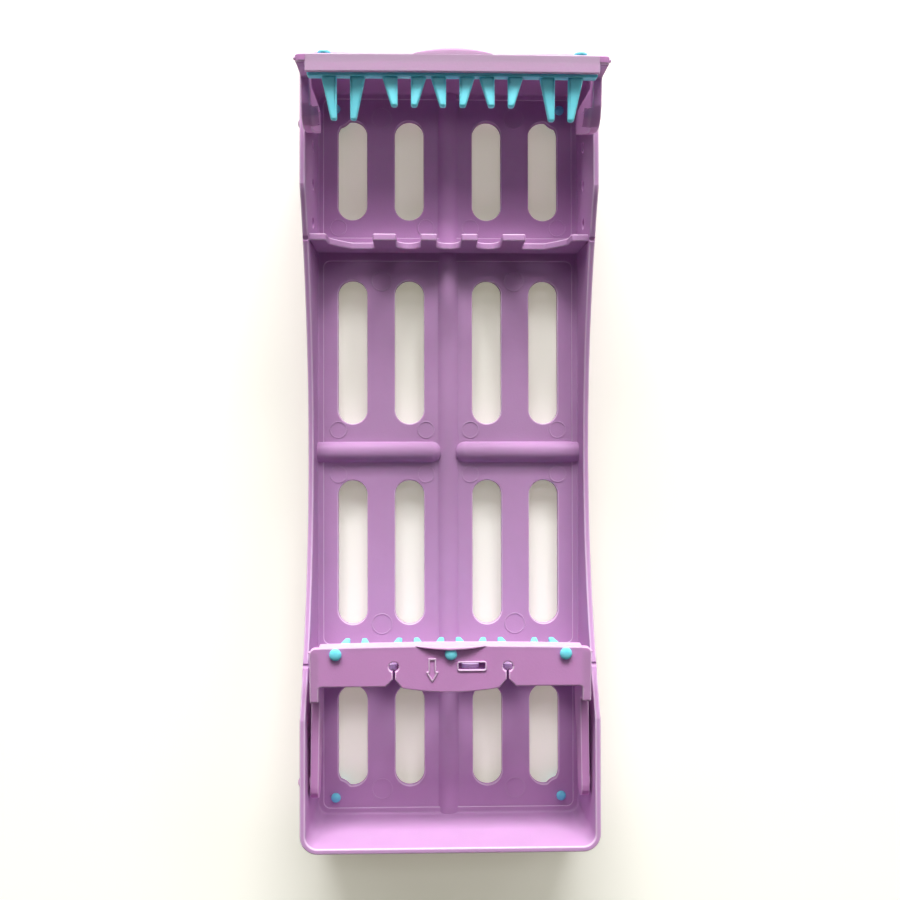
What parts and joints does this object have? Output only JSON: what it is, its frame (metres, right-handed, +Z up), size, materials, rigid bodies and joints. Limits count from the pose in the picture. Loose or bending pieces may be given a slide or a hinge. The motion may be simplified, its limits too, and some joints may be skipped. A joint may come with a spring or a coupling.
{
  "type": "dental instrument cassette",
  "caption": "Open tray-type instrument cassette: slotted waisted tray with notched ribs, hinged clamps with soft finger combs, and silicone feet.",
  "frame": {"origin": "middle of the tray, on the plane that its four feet rest on", "axes": "+Z up, +Y along the tray towards the end whose clamp stands open at rest, +X across the tray"},
  "size_m": [0.0796, 0.205, 0.0587],
  "materials": {
    "tray_plastic": "moulded, fine satin texture",
    "clamp_plastic": "moulded, fine satin texture",
    "silicone": "smooth, slightly glossy"
  },
  "bodies": {
    "tray": {"tray": "tray_plastic", "front_left_foot": "silicone", "front_right_foot": "silicone", "rear_left_foot": "silicone", "rear_right_foot": "silicone"},
    "front_clamp": {"front_clamp": "clamp_plastic", "front_comb": "silicone"},
    "rear_clamp": {"rear_clamp": "clamp_plastic", "rear_comb": "silicone"}
  },
  "joints": [
    {"name": "front_clamp_swing", "type": "hinge", "parent": "tray", "child": "front_clamp", "pos_m": [0, -0.0864, 0.0195], "axis": [1, 0, 0], "range_deg": [-13, 130]},
    {"name": "rear_clamp_swing", "type": "hinge", "parent": "tray", "child": "rear_clamp", "pos_m": [0, 0.0864, 0.0195], "axis": [-1, 0, 0], "range_deg": [-90, 53]}
  ]
}
